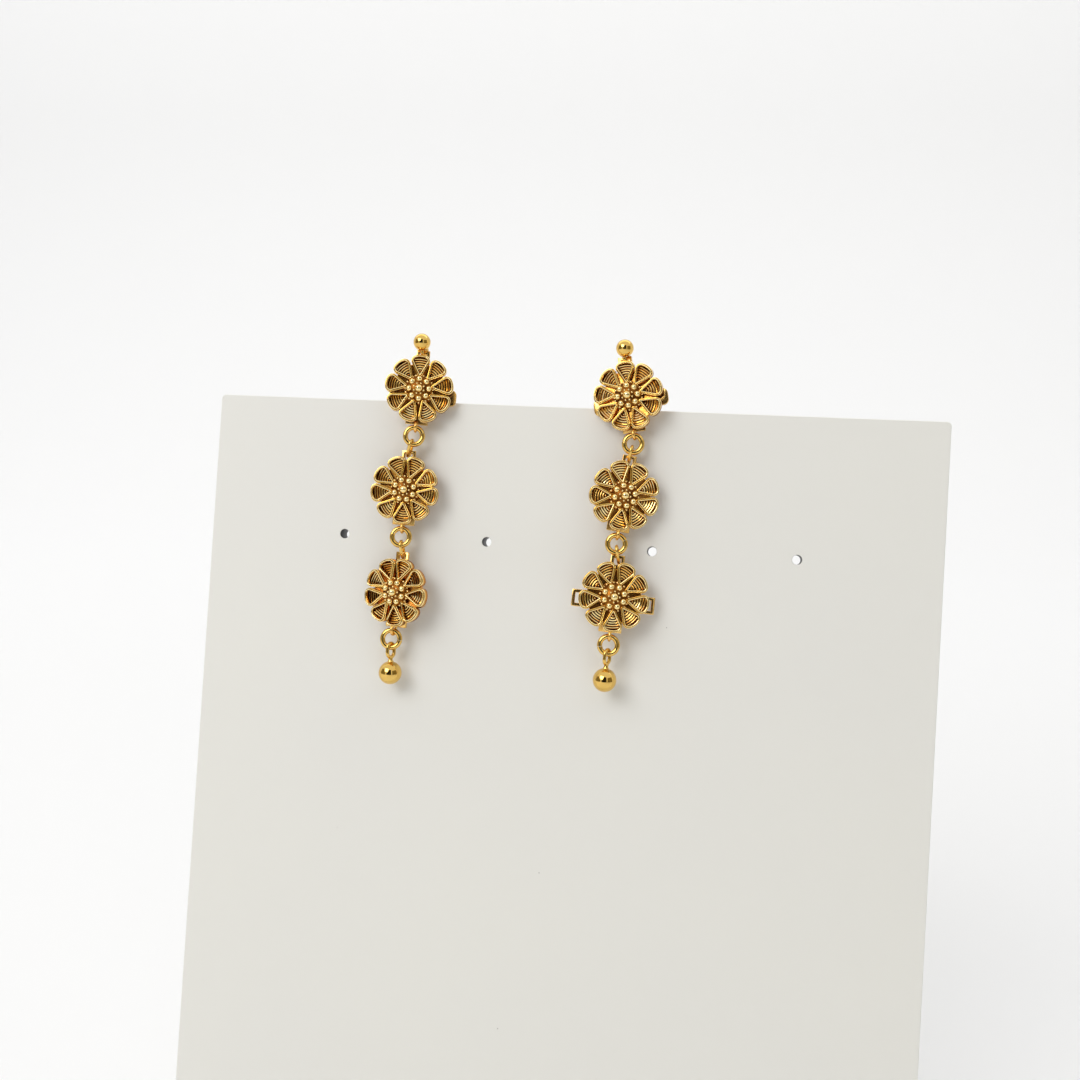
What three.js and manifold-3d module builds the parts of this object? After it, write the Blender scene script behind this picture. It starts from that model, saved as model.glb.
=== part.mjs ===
// Pair of flower dangle earrings hanging on the top edge of a leaning display stand.
// Millimetres, +Z up, +X to the right, -Y towards the person who looks at the stand.
import * as THREE from 'three';
import { mergeVertices } from 'three/addons/utils/BufferGeometryUtils.js';
import Module from 'manifold-3d';

// Display stand: one sheet, bent at the bottom into a foot
const PANEL_WIDTH = 102;
const PANEL_HEIGHT = 124;
const SHEET_THICKNESS = 3;
const LEAN_DEGREES = 10;
const BEND_INSIDE_RADIUS = 3;
const BEND_STEPS = 6;
const FOOT_LENGTH = 58;
const CORNER_RADIUS = 0.6;
const HOLE_DIAMETER = 1.3;
const HOLE_DROP = 19.3;
// Places of the holes from the panel's middle, as shares of its width
const HOLE_PLACES = [-0.304, -0.101, 0.125, 0.315];

// Clearance between a piece and what it rests on
const SEAT_GAP = 0.3;

// Flower: petal cups
const PETAL_COUNT = 9;
const FLOWER_RADIUS = 4.8;
const PETAL_TAPER_DEGREES = 33;
const PETAL_CORNER_RADIUS = 0.78;
const PETAL_END_RADIUS = 2.2;
const PETAL_GAP = 0.16;
const RIM_WIDTH = 0.36;
const FLOOR_THICKNESS = 0.4;
const CUP_DEPTH = 0.7;
const RIB_SIZE = 0.22;
// Places of the ribs along a petal's floor, as shares of its length
const RIB_PLACES = [0.36, 0.56, 0.76];

// Flower: domed middle with its beads
const DOME_RADIUS = 2.05;
const DOME_RISE = 1.1;
const MIDDLE_BEAD = 1.05;
const RING_BEAD = 0.86;
const RING_BEAD_COUNT = 8;
const BEAD_CIRCLE = 1.36;

// Flower: back frame with its eyes, and the disc that carries the petals
const FRAME_THICKNESS = 0.5;
const HUB_RADIUS = 3.3;
const HUB_HEIGHT = 0.3;
const SIDE_ARM_WIDTH = 2.3;
const TOP_ARM_WIDTH = 1.9;
const EYE_REACH = 5.6;
const EYE_BAR = 0.45;
const EYE_DEPTH = 0.85;
const SIDE_EYE_WIDTH = 1.4;
const TOP_EYE_WIDTH = 1.0;
const SIDE_ARM_DROP = 0.7;
const FOOT_ARM_WIDTH = 3.1;
const FOOT_ARM_REACH = 4.85;
const LUG_REACH = 5.25;
const LUG_HOLE = 0.84;
const LUG_WIRE = 0.42;
const LUG_STANDOFF = 0.9;

// Jump rings, oval links and end ball
const RING_DIAMETER = 3.02;
const RING_WIRE = 0.56;
const LINK_WIRE = 0.42;
const LINK_INNER_LENGTH = 2.0;
const LINK_INNER_WIDTH = 0.85;
const LINK_PLAY = 0.13;
const LINK_LEAN_LIMIT = 25;
const END_BALL = 3.2;
const BALL_LOOP_LENGTH = 1.5;
const BALL_LOOP_WIDTH = 0.95;
const BALL_NECK_LENGTH = 0.35;
const BALL_NECK_DIAMETER = 0.8;

// Ear hook: ball with a small loop, and the wire that goes over the panel
const HOOK_BALL = 2.4;
const HOOK_BALL_RISE = 1.22;
const HOOK_BALL_FORWARD = 1.1;
const HOOK_LOOP_HOLE = 0.96;
const HOOK_WIRE = 0.7;
const HOOK_SHOULDER = 1.35;
const HOOK_SETBACK = 1.2;
const HOOK_LEG = 12;
const HOOK_STEPS = 22;

// Sides of round pieces
const WIRE_SIDES = 5;
const RING_SIDES = 14;
const BALL_SIDES = 14;
const BALL_ROWS = 8;
const NECK_SIDES = 10;
const HOLE_SIDES = 8;
const CORNER_SIDES = 12;
const BEAD_SIDES = 8;
const BEAD_ROWS = 4;
const DOME_ROWS = 2;
const LOOP_SIDES = 10;
const HUB_SIDES = 10;
const PETAL_CORNER_SIDES = 2;
const PETAL_END_SIDES = 2;
const HOOK_SIDES = 6;

// Points closer than this are one point of a solid
const WELD_DISTANCE = 1e-5;

// The two earrings. Place is a share of the panel's width, rise a share of the flower's radius above
// the panel's edge. Angles in degrees: roll turns a piece in the panel's plane, clockwise as seen, yaw
// turns it to face right, petals is the turn of the rosette on its frame, swing is how far the next
// piece hangs to the left of straight down. Slack is the unused share of a link's length. Sides are the
// reaches of a frame's left and right arms, as shares of an eye's reach, as most are cut short.
const EARRINGS = [
  {
    side: 'left',
    place: -0.205,
    rise: 0.28,
    flowers: [
      { roll: 2, yaw: 11, petals: -3, sides: [0.75, 0.93] },
      { roll: 1, yaw: 5, petals: -20, sides: [0.75, 0.75] },
      { roll: 2, yaw: -13, petals: -25, sides: [0.75, 0.75] },
    ],
    rings: [
      { swing: 8, yaw: 10 },
      { swing: 6, yaw: 12 },
      { swing: 12, yaw: 8 },
    ],
    links: [
      { swing: 16, slack: 0 },
      { swing: -8, slack: 0 },
    ],
    ball: { swing: -2, yaw: -25 },
  },
  {
    side: 'right',
    place: 0.085,
    rise: 0.31,
    flowers: [
      { roll: -11, yaw: -8, petals: 2, sides: [0.92, 0.93] },
      { roll: 6, yaw: 12, petals: -18, sides: [0.75, 0.75] },
      { roll: 3, yaw: 8, petals: -22, sides: [1, 1] },
    ],
    rings: [
      { swing: 2, yaw: 4 },
      { swing: 4, yaw: 2 },
      { swing: 3, yaw: 6 },
    ],
    links: [
      { swing: 12, slack: 0.28 },
      { swing: -10, slack: 0.33 },
    ],
    ball: { swing: 3, yaw: -24 },
  },
];

const wasm = await Module();
wasm.setup();

const radians = THREE.MathUtils.degToRad;
const castGold = new THREE.MeshStandardMaterial({ color: 0xc9922e, roughness: 0.35, metalness: 1 });
const polishedGold = new THREE.MeshStandardMaterial({ color: 0xe0b04a, roughness: 0.12, metalness: 1 });
const mattWhite = new THREE.MeshStandardMaterial({ color: 0xe4e4df, roughness: 0.7, metalness: 0 });

// Turns a closed geometry into a solid that can be joined and cut
function solidOf(geometry) {
  const bare = geometry.clone();
  bare.deleteAttribute('normal');
  bare.deleteAttribute('uv');
  const merged = mergeVertices(bare, WELD_DISTANCE);
  const index = merged.index.array;
  const triangles = [];
  for (let i = 0; i < index.length; i += 3) {
    const [a, b, c] = [index[i], index[i + 1], index[i + 2]];
    if (a !== b && b !== c && c !== a) {
      triangles.push(a, b, c);
    }
  }
  return new wasm.Manifold(new wasm.Mesh({
    numProp: 3,
    vertProperties: new Float32Array(merged.attributes.position.array),
    triVerts: new Uint32Array(triangles),
  }));
}

// Turns a solid back into a geometry
function geometryOf(solid) {
  const mesh = solid.getMesh();
  const geometry = new THREE.BufferGeometry();
  const points = new Float32Array(mesh.vertProperties);
  geometry.setAttribute('position', new THREE.BufferAttribute(points, 3));
  geometry.setIndex(new THREE.BufferAttribute(new Uint32Array(mesh.triVerts), 1));
  geometry.computeVertexNormals();
  return geometry;
}

function joined(geometries) {
  return geometries.map(solidOf).reduce((whole, piece) => whole.add(piece));
}

// Box that spans the given ranges
function block(x0, x1, y0, y1, z0, z1) {
  const box = new THREE.BoxGeometry(x1 - x0, y1 - y0, z1 - z0);
  return box.translate((x0 + x1) / 2, (y0 + y1) / 2, (z0 + z1) / 2);
}

// Outline of a petal along +y: a pointed start towards the flower's middle, straight sides, and a broad
// outer end with two round corners, all set in from the petal's edge
const halfPitch = Math.PI / PETAL_COUNT;
const petalTaper = radians(PETAL_TAPER_DEGREES);
const endCentre = FLOWER_RADIUS - PETAL_END_RADIUS;
const cornerReach = PETAL_END_RADIUS - PETAL_CORNER_RADIUS;
const roomBeside = endCentre * Math.sin(halfPitch) - PETAL_CORNER_RADIUS - PETAL_GAP / 2;
const cornerAngle = halfPitch + Math.asin(roomBeside / cornerReach);
const cornerX = cornerReach * Math.sin(cornerAngle);
const cornerY = endCentre + cornerReach * Math.cos(cornerAngle);

function petalStart(inset) {
  const corner = (PETAL_CORNER_RADIUS - inset) / Math.sin(petalTaper);
  return cornerY - cornerX / Math.tan(petalTaper) - corner;
}

function petalOutline(inset) {
  const corner = PETAL_CORNER_RADIUS - inset;
  const side = [];
  for (let i = 0; i <= PETAL_CORNER_SIDES; i += 1) {
    const full = Math.PI / 2 + petalTaper;
    const angle = full + (i / PETAL_CORNER_SIDES) * (cornerAngle - full);
    side.push([cornerX + corner * Math.sin(angle), cornerY + corner * Math.cos(angle)]);
  }
  const end = [];
  for (let i = 1; i < PETAL_END_SIDES; i += 1) {
    const angle = cornerAngle * (1 - (2 * i) / PETAL_END_SIDES);
    const reach = PETAL_END_RADIUS - inset;
    end.push([reach * Math.sin(angle), endCentre + reach * Math.cos(angle)]);
  }
  const mirrored = side.map(([x, y]) => [-x, y]).reverse();
  const points = [[0, petalStart(inset)], ...side, ...end, ...mirrored];
  return new THREE.Shape(points.map(([x, y]) => new THREE.Vector2(x, y)));
}

// Half the width of a petal's floor at a distance from the flower's middle
function floorHalfWidth(radius) {
  const corner = PETAL_CORNER_RADIUS - RIM_WIDTH;
  if (radius < cornerY - corner * Math.sin(petalTaper)) {
    return (radius - petalStart(RIM_WIDTH)) * Math.tan(petalTaper);
  }
  return cornerX + Math.sqrt(Math.max(corner ** 2 - (radius - cornerY) ** 2, 0));
}

// Heights of the flower's levels above the back of its frame
const petalBack = FRAME_THICKNESS + HUB_HEIGHT;
const floorLevel = petalBack + FLOOR_THICKNESS;
const rimLevel = floorLevel + CUP_DEPTH;

// One petal: a hollow cup with cross ribs on its floor
function petal() {
  const extrude = (inset, from, to) => new THREE.ExtrudeGeometry(petalOutline(inset), {
    depth: to - from,
    bevelEnabled: false,
  }).translate(0, 0, from);
  const cup = solidOf(extrude(0, petalBack, rimLevel));
  let solid = cup.subtract(solidOf(extrude(RIM_WIDTH, floorLevel, rimLevel + CUP_DEPTH)));
  const inner = petalStart(RIM_WIDTH);
  const outer = FLOWER_RADIUS - RIM_WIDTH;
  for (const share of RIB_PLACES) {
    const radius = inner + share * (outer - inner);
    const length = 2 * floorHalfWidth(radius) + RIM_WIDTH;
    const rib = new THREE.BoxGeometry(length, RIB_SIZE, RIB_SIZE);
    solid = solid.add(solidOf(rib.rotateX(Math.PI / 4).translate(0, radius, floorLevel)));
  }
  return geometryOf(solid);
}

// Domed middle with one bead on top and a circle of smaller beads
function middle() {
  const capRadius = (DOME_RADIUS ** 2 + DOME_RISE ** 2) / (2 * DOME_RISE);
  const capCentre = floorLevel + DOME_RISE - capRadius;
  const capAngle = Math.asin(DOME_RADIUS / capRadius);
  const profile = [new THREE.Vector2(0, petalBack), new THREE.Vector2(DOME_RADIUS, petalBack)];
  for (let i = 0; i <= DOME_ROWS; i += 1) {
    const angle = capAngle * (1 - i / DOME_ROWS);
    const height = capCentre + capRadius * Math.cos(angle);
    profile.push(new THREE.Vector2(capRadius * Math.sin(angle), height));
  }
  const pieces = [new THREE.LatheGeometry(profile, LOOP_SIDES).rotateX(Math.PI / 2)];
  const bead = (diameter, x, y) => {
    const surface = capCentre + Math.sqrt(capRadius ** 2 - x ** 2 - y ** 2);
    const sphere = new THREE.SphereGeometry(diameter / 2, BEAD_SIDES, BEAD_ROWS);
    return sphere.rotateX(Math.PI / 2).translate(x, y, surface);
  };
  pieces.push(bead(MIDDLE_BEAD, 0, 0));
  for (let i = 0; i < RING_BEAD_COUNT; i += 1) {
    const angle = (2 * Math.PI * i) / RING_BEAD_COUNT;
    pieces.push(bead(RING_BEAD, BEAD_CIRCLE * Math.sin(angle), BEAD_CIRCLE * Math.cos(angle)));
  }
  return geometryOf(joined(pieces));
}

// Back frame: a cross whose top and full side arms end in rectangular eyes, with a round lug below
function backFrame([leftShare, rightShare]) {
  const topHalf = TOP_ARM_WIDTH / 2;
  const topEye = TOP_EYE_WIDTH / 2;
  const half = SIDE_ARM_WIDTH / 2;
  const eyeOuter = EYE_REACH - EYE_BAR;
  const eyeInner = eyeOuter - EYE_DEPTH;
  const eyeHalf = SIDE_EYE_WIDTH / 2;
  const top = FRAME_THICKNESS;
  const drop = SIDE_ARM_DROP;
  const arms = joined([
    block(-topHalf, topHalf, 0, EYE_REACH, 0, top),
    block(-leftShare * EYE_REACH, rightShare * EYE_REACH, -drop - half, -drop + half, 0, top),
    block(-FOOT_ARM_WIDTH / 2, FOOT_ARM_WIDTH / 2, -FOOT_ARM_REACH, 0, 0, top),
  ]);
  const openings = [block(-topEye, topEye, eyeInner, eyeOuter, -top, 2 * top)];
  if (rightShare === 1) {
    openings.push(block(eyeInner, eyeOuter, -drop - eyeHalf, -drop + eyeHalf, -top, 2 * top));
  }
  if (leftShare === 1) {
    openings.push(block(-eyeOuter, -eyeInner, -drop - eyeHalf, -drop + eyeHalf, -top, 2 * top));
  }
  const hub = new THREE.CylinderGeometry(HUB_RADIUS, HUB_RADIUS, top / 2 + HUB_HEIGHT, HUB_SIDES);
  hub.rotateX(Math.PI / 2).translate(0, 0, top / 2 + (top / 2 + HUB_HEIGHT) / 2);
  const lugRadius = (LUG_HOLE + LUG_WIRE) / 2;
  const lug = new THREE.TorusGeometry(lugRadius, LUG_WIRE / 2, WIRE_SIDES, LOOP_SIDES);
  lug.rotateY(Math.PI / 2).translate(0, -LUG_REACH, LUG_STANDOFF);
  return arms.subtract(joined(openings)).add(solidOf(hub)).add(solidOf(lug));
}

const petalGeometry = petal();
const middleGeometry = middle();

// A whole flower: the rosette is soldered on its frame at its own angle
function flowerGeometry(petalTurn, sides) {
  let rosette = solidOf(middleGeometry.clone().rotateZ(-petalTurn));
  for (let i = 0; i < PETAL_COUNT; i += 1) {
    const angle = -petalTurn - (2 * Math.PI * i) / PETAL_COUNT;
    rosette = rosette.add(solidOf(petalGeometry.clone().rotateZ(angle)));
  }
  return geometryOf(backFrame(sides).add(rosette));
}

// Round jump ring in the xy plane
const ringMiddle = (RING_DIAMETER - RING_WIRE) / 2;

function ringGeometry() {
  return new THREE.TorusGeometry(ringMiddle, RING_WIRE / 2, WIRE_SIDES, RING_SIDES);
}

// Oval wire loop with its long way along y, seen edge-on along z
function ovalLoop(innerLength, innerWidth) {
  const middleRadius = (innerWidth + LINK_WIRE) / 2;
  const loop = new THREE.TorusGeometry(middleRadius, LINK_WIRE / 2, WIRE_SIDES, LOOP_SIDES);
  loop.rotateZ(Math.PI / LOOP_SIDES);
  const stretch = (innerLength - innerWidth) / 2;
  const position = loop.attributes.position;
  for (let i = 0; i < position.count; i += 1) {
    position.setY(i, position.getY(i) + Math.sign(position.getY(i)) * stretch);
  }
  return loop.rotateY(Math.PI / 2);
}

// End ball with its neck and loop; the origin is the top of the loop's opening
function ballDropGeometry() {
  const loopMiddle = -BALL_LOOP_LENGTH / 2;
  const loopFoot = -BALL_LOOP_LENGTH - LINK_WIRE;
  const ballCentre = loopFoot - BALL_NECK_LENGTH - END_BALL / 2;
  const loop = ovalLoop(BALL_LOOP_LENGTH, BALL_LOOP_WIDTH).translate(0, loopMiddle, 0);
  const neckTop = loopFoot + LINK_WIRE / 2;
  const neckLength = neckTop - ballCentre;
  const neckRadius = BALL_NECK_DIAMETER / 2;
  const neck = new THREE.CylinderGeometry(neckRadius, neckRadius, neckLength, NECK_SIDES);
  neck.translate(0, (neckTop + ballCentre) / 2, 0);
  const ball = new THREE.SphereGeometry(END_BALL / 2, BALL_SIDES, BALL_ROWS);
  ball.translate(0, ballCentre, 0);
  return geometryOf(joined([ball, neck, loop]));
}

// Ear hook, in the panel's own directions: x along the edge, y up the panel, z off its front face.
// The origin is the middle of the bar that its loop goes round; edge is the panel's front top edge.
function earHookGeometry(edge) {
  const loopRadius = (HOOK_LOOP_HOLE + LINK_WIRE) / 2;
  const loop = new THREE.TorusGeometry(loopRadius, LINK_WIRE / 2, WIRE_SIDES, LOOP_SIDES);
  loop.rotateY(Math.PI / 2);
  const ball = new THREE.SphereGeometry(HOOK_BALL / 2, BALL_SIDES, BALL_ROWS);
  ball.translate(0, HOOK_BALL_RISE, HOOK_BALL_FORWARD);
  const radius = HOOK_WIRE / 2;
  const saddle = edge.y + radius + SEAT_GAP;
  const rear = edge.z - SHEET_THICKNESS;
  const around = (radius + SEAT_GAP) * Math.SQRT1_2;
  const route = [
    [HOOK_SHOULDER, HOOK_BALL_FORWARD - radius],
    [HOOK_SHOULDER, 0],
    [HOOK_SHOULDER - radius, radius / 2 - HOOK_SETBACK],
    [0, -radius - HOOK_SETBACK],
    [saddle / 2, edge.z - radius],
    [saddle + radius, edge.z - HOOK_WIRE - radius / 2],
    [saddle, edge.z - SHEET_THICKNESS / 2 - radius],
    [saddle, rear],
    [edge.y + around, rear - around],
    [edge.y, rear - radius - SEAT_GAP],
    [edge.y - HOOK_LEG / 2, rear - radius - SEAT_GAP],
    [edge.y - HOOK_LEG, rear - radius - SEAT_GAP],
  ];
  const points = route.map(([y, z]) => new THREE.Vector3(0, y, z));
  const section = new THREE.Shape().absarc(0, 0, radius, 0, 2 * Math.PI, false);
  const wire = new THREE.ExtrudeGeometry(section, {
    steps: HOOK_STEPS,
    extrudePath: new THREE.CatmullRomCurve3(points, false, 'centripetal'),
    curveSegments: HOOK_SIDES / 2,
  });
  return geometryOf(joined([ball, wire, loop]));
}

// Stand: the sheet's side outline run along its width, with round corners and drilled holes
const lean = radians(LEAN_DEGREES);
const bendOutside = BEND_INSIDE_RADIUS + SHEET_THICKNESS;
const faceOut = new THREE.Vector2(-Math.cos(lean), Math.sin(lean));
const faceUp = new THREE.Vector2(Math.sin(lean), Math.cos(lean));
const bendCentre = new THREE.Vector2(-FOOT_LENGTH / 2, bendOutside);
const topEdge = bendCentre.clone()
  .addScaledVector(faceOut, bendOutside)
  .addScaledVector(faceUp, PANEL_HEIGHT - bendOutside);

function bendPoints(radius) {
  const points = [];
  for (let i = 0; i <= BEND_STEPS; i += 1) {
    const angle = -Math.PI / 2 - (i / BEND_STEPS) * (Math.PI / 2 + lean);
    const spoke = new THREE.Vector2(Math.cos(angle), Math.sin(angle));
    points.push(spoke.multiplyScalar(radius).add(bendCentre));
  }
  return points;
}

function standGeometry(panelMatrix) {
  const outline = [
    new THREE.Vector2(FOOT_LENGTH / 2, 0),
    ...bendPoints(bendOutside),
    topEdge,
    topEdge.clone().addScaledVector(faceOut, -SHEET_THICKNESS),
    ...bendPoints(BEND_INSIDE_RADIUS).reverse(),
    new THREE.Vector2(FOOT_LENGTH / 2, SHEET_THICKNESS),
  ];
  const sheet = new THREE.ExtrudeGeometry(new THREE.Shape(outline), {
    depth: PANEL_WIDTH,
    bevelEnabled: false,
  });
  const upright = new THREE.Matrix4().makeBasis(
    new THREE.Vector3(0, 1, 0),
    new THREE.Vector3(0, 0, 1),
    new THREE.Vector3(1, 0, 0),
  );
  sheet.applyMatrix4(upright).translate(-PANEL_WIDTH / 2, 0, 0);
  let stand = solidOf(sheet);
  const through = 2 * SHEET_THICKNESS;
  for (const share of HOLE_PLACES) {
    const holeRadius = HOLE_DIAMETER / 2;
    const drill = new THREE.CylinderGeometry(holeRadius, holeRadius, through, HOLE_SIDES);
    drill.rotateX(Math.PI / 2).translate(share * PANEL_WIDTH, -HOLE_DROP, -SHEET_THICKNESS / 2);
    stand = stand.subtract(solidOf(drill.applyMatrix4(panelMatrix)));
  }
  for (const end of [-1, 1]) {
    const centre = end * (PANEL_WIDTH / 2 - CORNER_RADIUS);
    const edge = end * (PANEL_WIDTH / 2 + CORNER_RADIUS);
    const corner = block(
      Math.min(centre, edge),
      Math.max(centre, edge),
      -CORNER_RADIUS,
      CORNER_RADIUS,
      -SHEET_THICKNESS - through,
      through,
    );
    const post = new THREE.CylinderGeometry(CORNER_RADIUS, CORNER_RADIUS, 4 * through, CORNER_SIDES);
    post.rotateX(Math.PI / 2).translate(centre, -CORNER_RADIUS, 0);
    const kept = solidOf(post.applyMatrix4(panelMatrix));
    stand = stand.subtract(solidOf(corner.applyMatrix4(panelMatrix)).subtract(kept));
  }
  return geometryOf(stand);
}

// Places of the pieces in the panel's own directions: x along its top edge, y up the panel and z off
// its front face, from the middle of the front top edge
const up = new THREE.Vector3(0, 1, 0);
const out = new THREE.Vector3(0, 0, 1);

function turned(roll, yaw) {
  const inPlane = new THREE.Quaternion().setFromAxisAngle(out, -radians(roll));
  return new THREE.Quaternion().setFromAxisAngle(up, radians(yaw)).multiply(inPlane);
}

// Direction straight down, swung to the left
function downwards(swing) {
  return new THREE.Vector3(-Math.sin(radians(swing)), -Math.cos(radians(swing)), 0);
}

// Height off the panel at which a flower's frame rests with its lowest corner at the seat gap
function restHeight(rotation) {
  const corners = [
    [TOP_ARM_WIDTH / 2, EYE_REACH],
    [EYE_REACH, SIDE_ARM_WIDTH / 2 - SIDE_ARM_DROP],
    [EYE_REACH, -SIDE_ARM_WIDTH / 2 - SIDE_ARM_DROP],
    [FOOT_ARM_WIDTH / 2, -LUG_REACH],
  ];
  const depths = corners.flatMap(([x, y]) => [-x, x].map((side) => (
    new THREE.Vector3(side, y, 0).applyQuaternion(rotation).z)));
  return SEAT_GAP - Math.min(...depths);
}

const eyeBar = new THREE.Vector3(0, EYE_REACH - EYE_BAR / 2, FRAME_THICKNESS / 2);
const lugCentre = new THREE.Vector3(0, -LUG_REACH, LUG_STANDOFF);

function addPiece(parent, name, geometry, material, position, rotation) {
  const mesh = new THREE.Mesh(geometry, material);
  mesh.name = name;
  mesh.position.copy(position);
  mesh.quaternion.copy(rotation);
  parent.add(mesh);
}

// Hangs a ring from a flower's lug and returns a function that gives the middle of its wire below
function hangRing(parent, name, lug, { swing, yaw }) {
  const rotation = turned(0, yaw);
  const down = downwards(swing).applyQuaternion(rotation);
  const centre = lug.clone().addScaledVector(up, -LINK_PLAY / 2).addScaledVector(down, ringMiddle);
  addPiece(parent, name, ringGeometry(), polishedGold, centre, rotation);
  return (angle) => {
    const towards = downwards(angle).applyQuaternion(rotation);
    return centre.clone().addScaledVector(towards, ringMiddle);
  };
}

// Turns a piece so that its own y points along a direction, with its hole to the side
function alongDirection(direction) {
  const side = new THREE.Vector3().crossVectors(direction, out).normalize();
  const front = new THREE.Vector3().crossVectors(side, direction);
  const basis = new THREE.Matrix4().makeBasis(side, direction, front);
  return new THREE.Quaternion().setFromRotationMatrix(basis);
}

function hangEarring(parent, earring) {
  const named = (piece) => `${earring.side}_${piece}`;
  let wire = null;
  earring.flowers.forEach((flower, i) => {
    const rotation = turned(flower.roll, flower.yaw);
    const arm = eyeBar.clone().applyQuaternion(rotation);
    const rest = restHeight(rotation);
    const place = new THREE.Vector3(earring.place * PANEL_WIDTH, earring.rise * FLOWER_RADIUS, rest);
    if (wire) {
      const { swing, slack } = earring.links[i - 1];
      const from = wire(swing);
      const reach = LINK_INNER_LENGTH * (1 - slack) - RING_WIRE / 2 - EYE_BAR / 2 - 2 * LINK_PLAY;
      const lowest = from.z - reach * Math.sin(radians(LINK_LEAN_LIMIT));
      const height = Math.max(rest + arm.z, lowest) - from.z;
      const fall = downwards(swing).multiplyScalar(Math.sqrt(reach ** 2 - height ** 2)).setZ(height);
      const direction = fall.clone().normalize().negate();
      const bar = from.clone().add(fall);
      place.copy(bar).sub(arm);
      const middleOfLink = from.clone().add(bar).multiplyScalar(0.5)
        .addScaledVector(direction, (RING_WIRE - EYE_BAR) / 4);
      const link = ovalLoop(LINK_INNER_LENGTH, LINK_INNER_WIDTH);
      const slant = alongDirection(direction);
      addPiece(parent, named(`link_${i}`), link, polishedGold, middleOfLink, slant);
    } else {
      const bar = place.clone().add(arm);
      const hook = earHookGeometry({ y: -bar.y, z: -bar.z });
      addPiece(parent, named('ear_hook'), hook, polishedGold, bar, new THREE.Quaternion());
    }
    const petals = flowerGeometry(radians(flower.petals), flower.sides);
    addPiece(parent, named(`flower_${i + 1}`), petals, castGold, place, rotation);
    const lug = lugCentre.clone().applyQuaternion(rotation).add(place);
    wire = hangRing(parent, named(`ring_${i + 1}`), lug, earring.rings[i]);
  });
  const { swing, yaw } = earring.ball;
  const direction = downwards(swing).negate();
  const top = wire(swing).addScaledVector(direction, RING_WIRE / 2 + LINK_PLAY);
  const twist = new THREE.Quaternion().setFromAxisAngle(up, radians(yaw));
  const rotation = alongDirection(direction).multiply(twist);
  addPiece(parent, named('ball_drop'), ballDropGeometry(), polishedGold, top, rotation);
}

const group = new THREE.Group();
const panel = new THREE.Group();
panel.position.set(0, topEdge.x, topEdge.y);
panel.rotation.x = Math.PI / 2 - lean;
panel.updateMatrix();
group.add(panel);

const stand = standGeometry(panel.matrix);
addPiece(group, 'display_stand', stand, mattWhite, new THREE.Vector3(), new THREE.Quaternion());
for (const earring of EARRINGS) {
  hangEarring(panel, earring);
}

export default group;
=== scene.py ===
import math
import random

import bmesh
import bpy
import numpy as np
from mathutils import Matrix, Vector


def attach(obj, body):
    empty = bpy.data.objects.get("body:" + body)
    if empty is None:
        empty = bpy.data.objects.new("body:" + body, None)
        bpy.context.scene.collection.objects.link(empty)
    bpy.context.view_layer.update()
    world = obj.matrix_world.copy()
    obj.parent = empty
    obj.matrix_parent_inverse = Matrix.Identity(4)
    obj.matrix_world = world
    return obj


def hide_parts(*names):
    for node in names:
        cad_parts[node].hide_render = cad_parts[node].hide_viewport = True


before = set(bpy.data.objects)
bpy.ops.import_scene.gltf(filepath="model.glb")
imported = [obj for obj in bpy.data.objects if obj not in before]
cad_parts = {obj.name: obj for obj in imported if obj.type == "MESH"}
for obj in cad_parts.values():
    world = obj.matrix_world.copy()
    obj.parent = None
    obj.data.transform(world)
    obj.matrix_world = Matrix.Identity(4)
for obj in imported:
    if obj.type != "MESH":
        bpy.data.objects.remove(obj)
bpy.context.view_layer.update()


# DISPLAY STAND
# One 3 mm sheet of matt white acrylic, cut to 102 mm, drilled with a row of small holes and bent hot
# near the bottom into a foot, so that its panel leans back by 10 degrees. It carries both earrings.

MM = 0.001
PANEL_WIDTH = 102.0
PANEL_HEIGHT = 124.0
SHEET = 3.0
LEAN = math.radians(10)
BEND_RADIUS = 3.0
FOOT_LENGTH = 58.0
CORNER_RADIUS = 0.6
EDGE_ROUND = 0.12
HOLE_DIAMETER = 1.3
HOLE_DROP = 19.3
HOLE_SHARES = (-0.304, -0.101, 0.125, 0.315)

face_out = Vector((0, -math.cos(LEAN), math.sin(LEAN)))
face_up = Vector((0, math.sin(LEAN), math.cos(LEAN)))
bend_outside = BEND_RADIUS + SHEET
bend_centre = Vector((0, -FOOT_LENGTH / 2, bend_outside))
top_edge = bend_centre + face_out * bend_outside + face_up * (PANEL_HEIGHT - bend_outside)

# From the panel's own millimetres (right along its top edge, up it, off its front face) to the row frame
panel = (
    Matrix.Translation(top_edge * MM)
    @ Matrix.Rotation(math.pi / 2 - LEAN, 4, "X")
    @ Matrix.Scale(MM, 4)
)


def linear(colour):
    """sRGB hex colour as linear RGBA."""
    shares = [int(colour[i : i + 2], 16) / 255 for i in (0, 2, 4)]
    return [c / 12.92 if c <= 0.04045 else ((c + 0.055) / 1.055) ** 2.4 for c in shares] + [1.0]


def add_node(tree, kind, settings, links=()):
    """Adds a node, sets its properties or sockets, and links outputs into its sockets."""
    made = tree.nodes.new(kind)
    for key, value in settings.items():
        if isinstance(key, str) and hasattr(made, key):
            setattr(made, key, value)
        else:
            made.inputs[key].default_value = value
    for key, output in dict(links).items():
        tree.links.new(output, made.inputs[key])
    return made


def new_material(name):
    """Empty node material and its node tree."""
    material = bpy.data.materials.new(name)
    material.use_nodes = True
    material.node_tree.nodes.clear()
    return material, material.node_tree


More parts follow.
